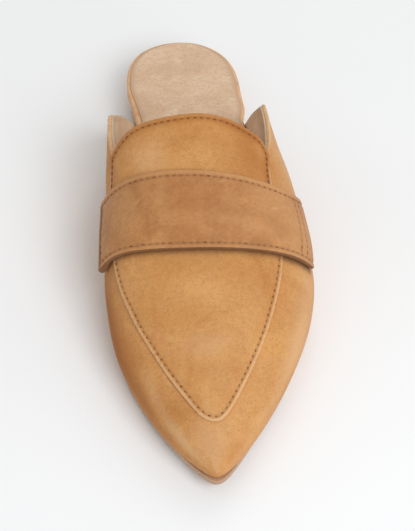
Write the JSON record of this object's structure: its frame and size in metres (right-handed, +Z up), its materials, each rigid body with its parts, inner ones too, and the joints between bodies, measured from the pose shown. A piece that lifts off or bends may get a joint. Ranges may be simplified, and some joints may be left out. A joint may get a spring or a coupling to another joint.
{
  "type": "mule shoe",
  "caption": "Backless pointed-toe loafer mule for the left foot: hollow leather upper with saddle strap and apron, cushioned insole, thin sole, low heel.",
  "frame": {"origin": "on the floor, under the middle of the shoe's box", "axes": "+Z up, the toe points along -Y, +X is the lateral (outer) side of the left shoe"},
  "size_m": [0.0978, 0.2675, 0.0729],
  "materials": {
    "upper": "matt nubuck, tan",
    "strap": "waxy pull-up leather, darker tan",
    "sock": "matt grained, beige",
    "insole_edge": "smooth wrapping leather, tan",
    "lining": "smooth lining, grey-brown",
    "thread": "dark brown waxed thread",
    "outsole": "stained sole leather",
    "heel": "stacked heel, stained"
  },
  "bodies": {
    "root": {"outsole": "outsole", "heel": "heel", "insole_board": "insole_edge", "sock": "sock", "upper": "upper", "apron": "upper", "saddle_strap": "strap"}
  },
  "joints": []
}
